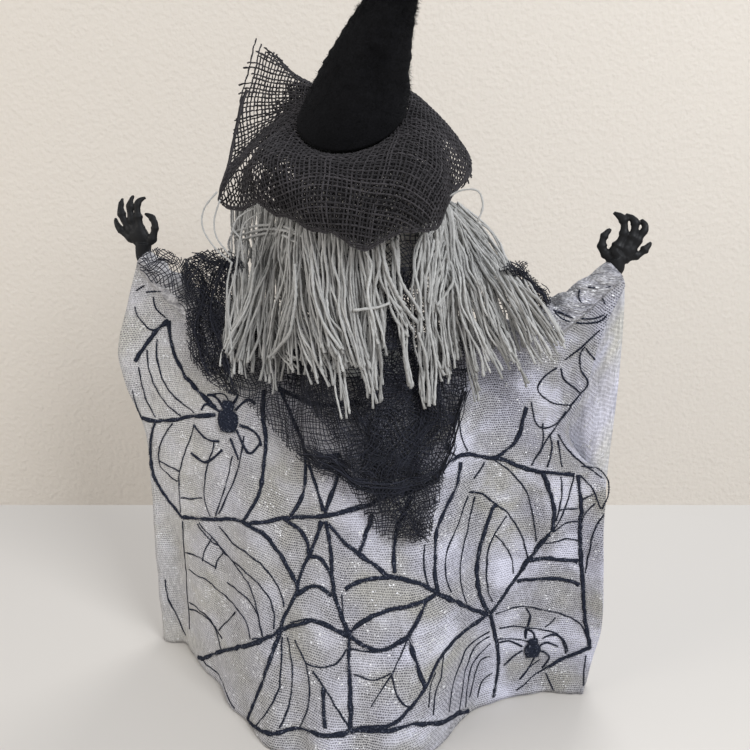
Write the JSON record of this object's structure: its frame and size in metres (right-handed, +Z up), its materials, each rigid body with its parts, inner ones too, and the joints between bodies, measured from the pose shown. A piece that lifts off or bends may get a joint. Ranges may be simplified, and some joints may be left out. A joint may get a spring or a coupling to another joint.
{
  "type": "seasonal doll figurine",
  "caption": "Standing seasonal doll in a knit robe with raised arms, a gauze cape, yarn hair and a tall felt hat, to decorate a shelf or table",
  "frame": {"origin": "on the floor, at the middle of the body cone's flat bottom", "axes": "+Z up, +X along the arms towards the side the hat leans to, +Y the way the doll faces"},
  "size_m": [0.2383, 0.137, 0.328],
  "materials": {
    "white_foam": "rough, closed-cell foam",
    "dowel_wood": "bare",
    "muslin": "plain weave, matt",
    "steel_wire": "plain drawn wire",
    "black_plastic": "satin, moulded",
    "silver_knit": "fine open knit with glitter",
    "flocked_print": "matt flock, blue-black",
    "black_gauze": "loose open weave, matt",
    "grey_yarn": "soft twisted yarn, matt",
    "dark_sacking": "coarse open weave, matt",
    "black_felt": "matt, slightly hairy"
  },
  "bodies": {
    "root": {"arm_wire": "steel_wire", "body_cone": "white_foam", "gauze_cape": "black_gauze", "hair_back_01": "grey_yarn", "hair_back_02": "grey_yarn", "hair_back_03": "grey_yarn", "hair_back_04": "grey_yarn", "hair_back_05": "grey_yarn", "hair_back_06": "grey_yarn", "hair_back_07": "grey_yarn", "hair_back_08": "grey_yarn", "hair_back_09": "grey_yarn", "hair_back_10": "grey_yarn", "hair_back_11": "grey_yarn", "hair_back_12": "grey_yarn", "hair_back_13": "grey_yarn", "hair_back_14": "grey_yarn", "hair_back_15": "grey_yarn", "hair_right_01": "grey_yarn", "hair_right_02": "grey_yarn", "hair_right_03": "grey_yarn", "hair_right_04": "grey_yarn", "hair_right_05": "grey_yarn", "hair_right_06": "grey_yarn", "hair_right_07": "grey_yarn", "hair_right_08": "grey_yarn", "hair_side_left_01": "grey_yarn", "hair_side_left_02": "grey_yarn", "hair_side_right_01": "grey_yarn", "hair_side_right_02": "grey_yarn", "hand_left": "black_plastic", "hand_right": "black_plastic", "hat_brim": "dark_sacking", "hat_cone": "black_felt", "head": "muslin", "neck_dowel": "dowel_wood", "robe": "silver_knit", "spider_large": "flocked_print", "spider_small": "flocked_print", "web_print": "flocked_print"}
  },
  "joints": []
}
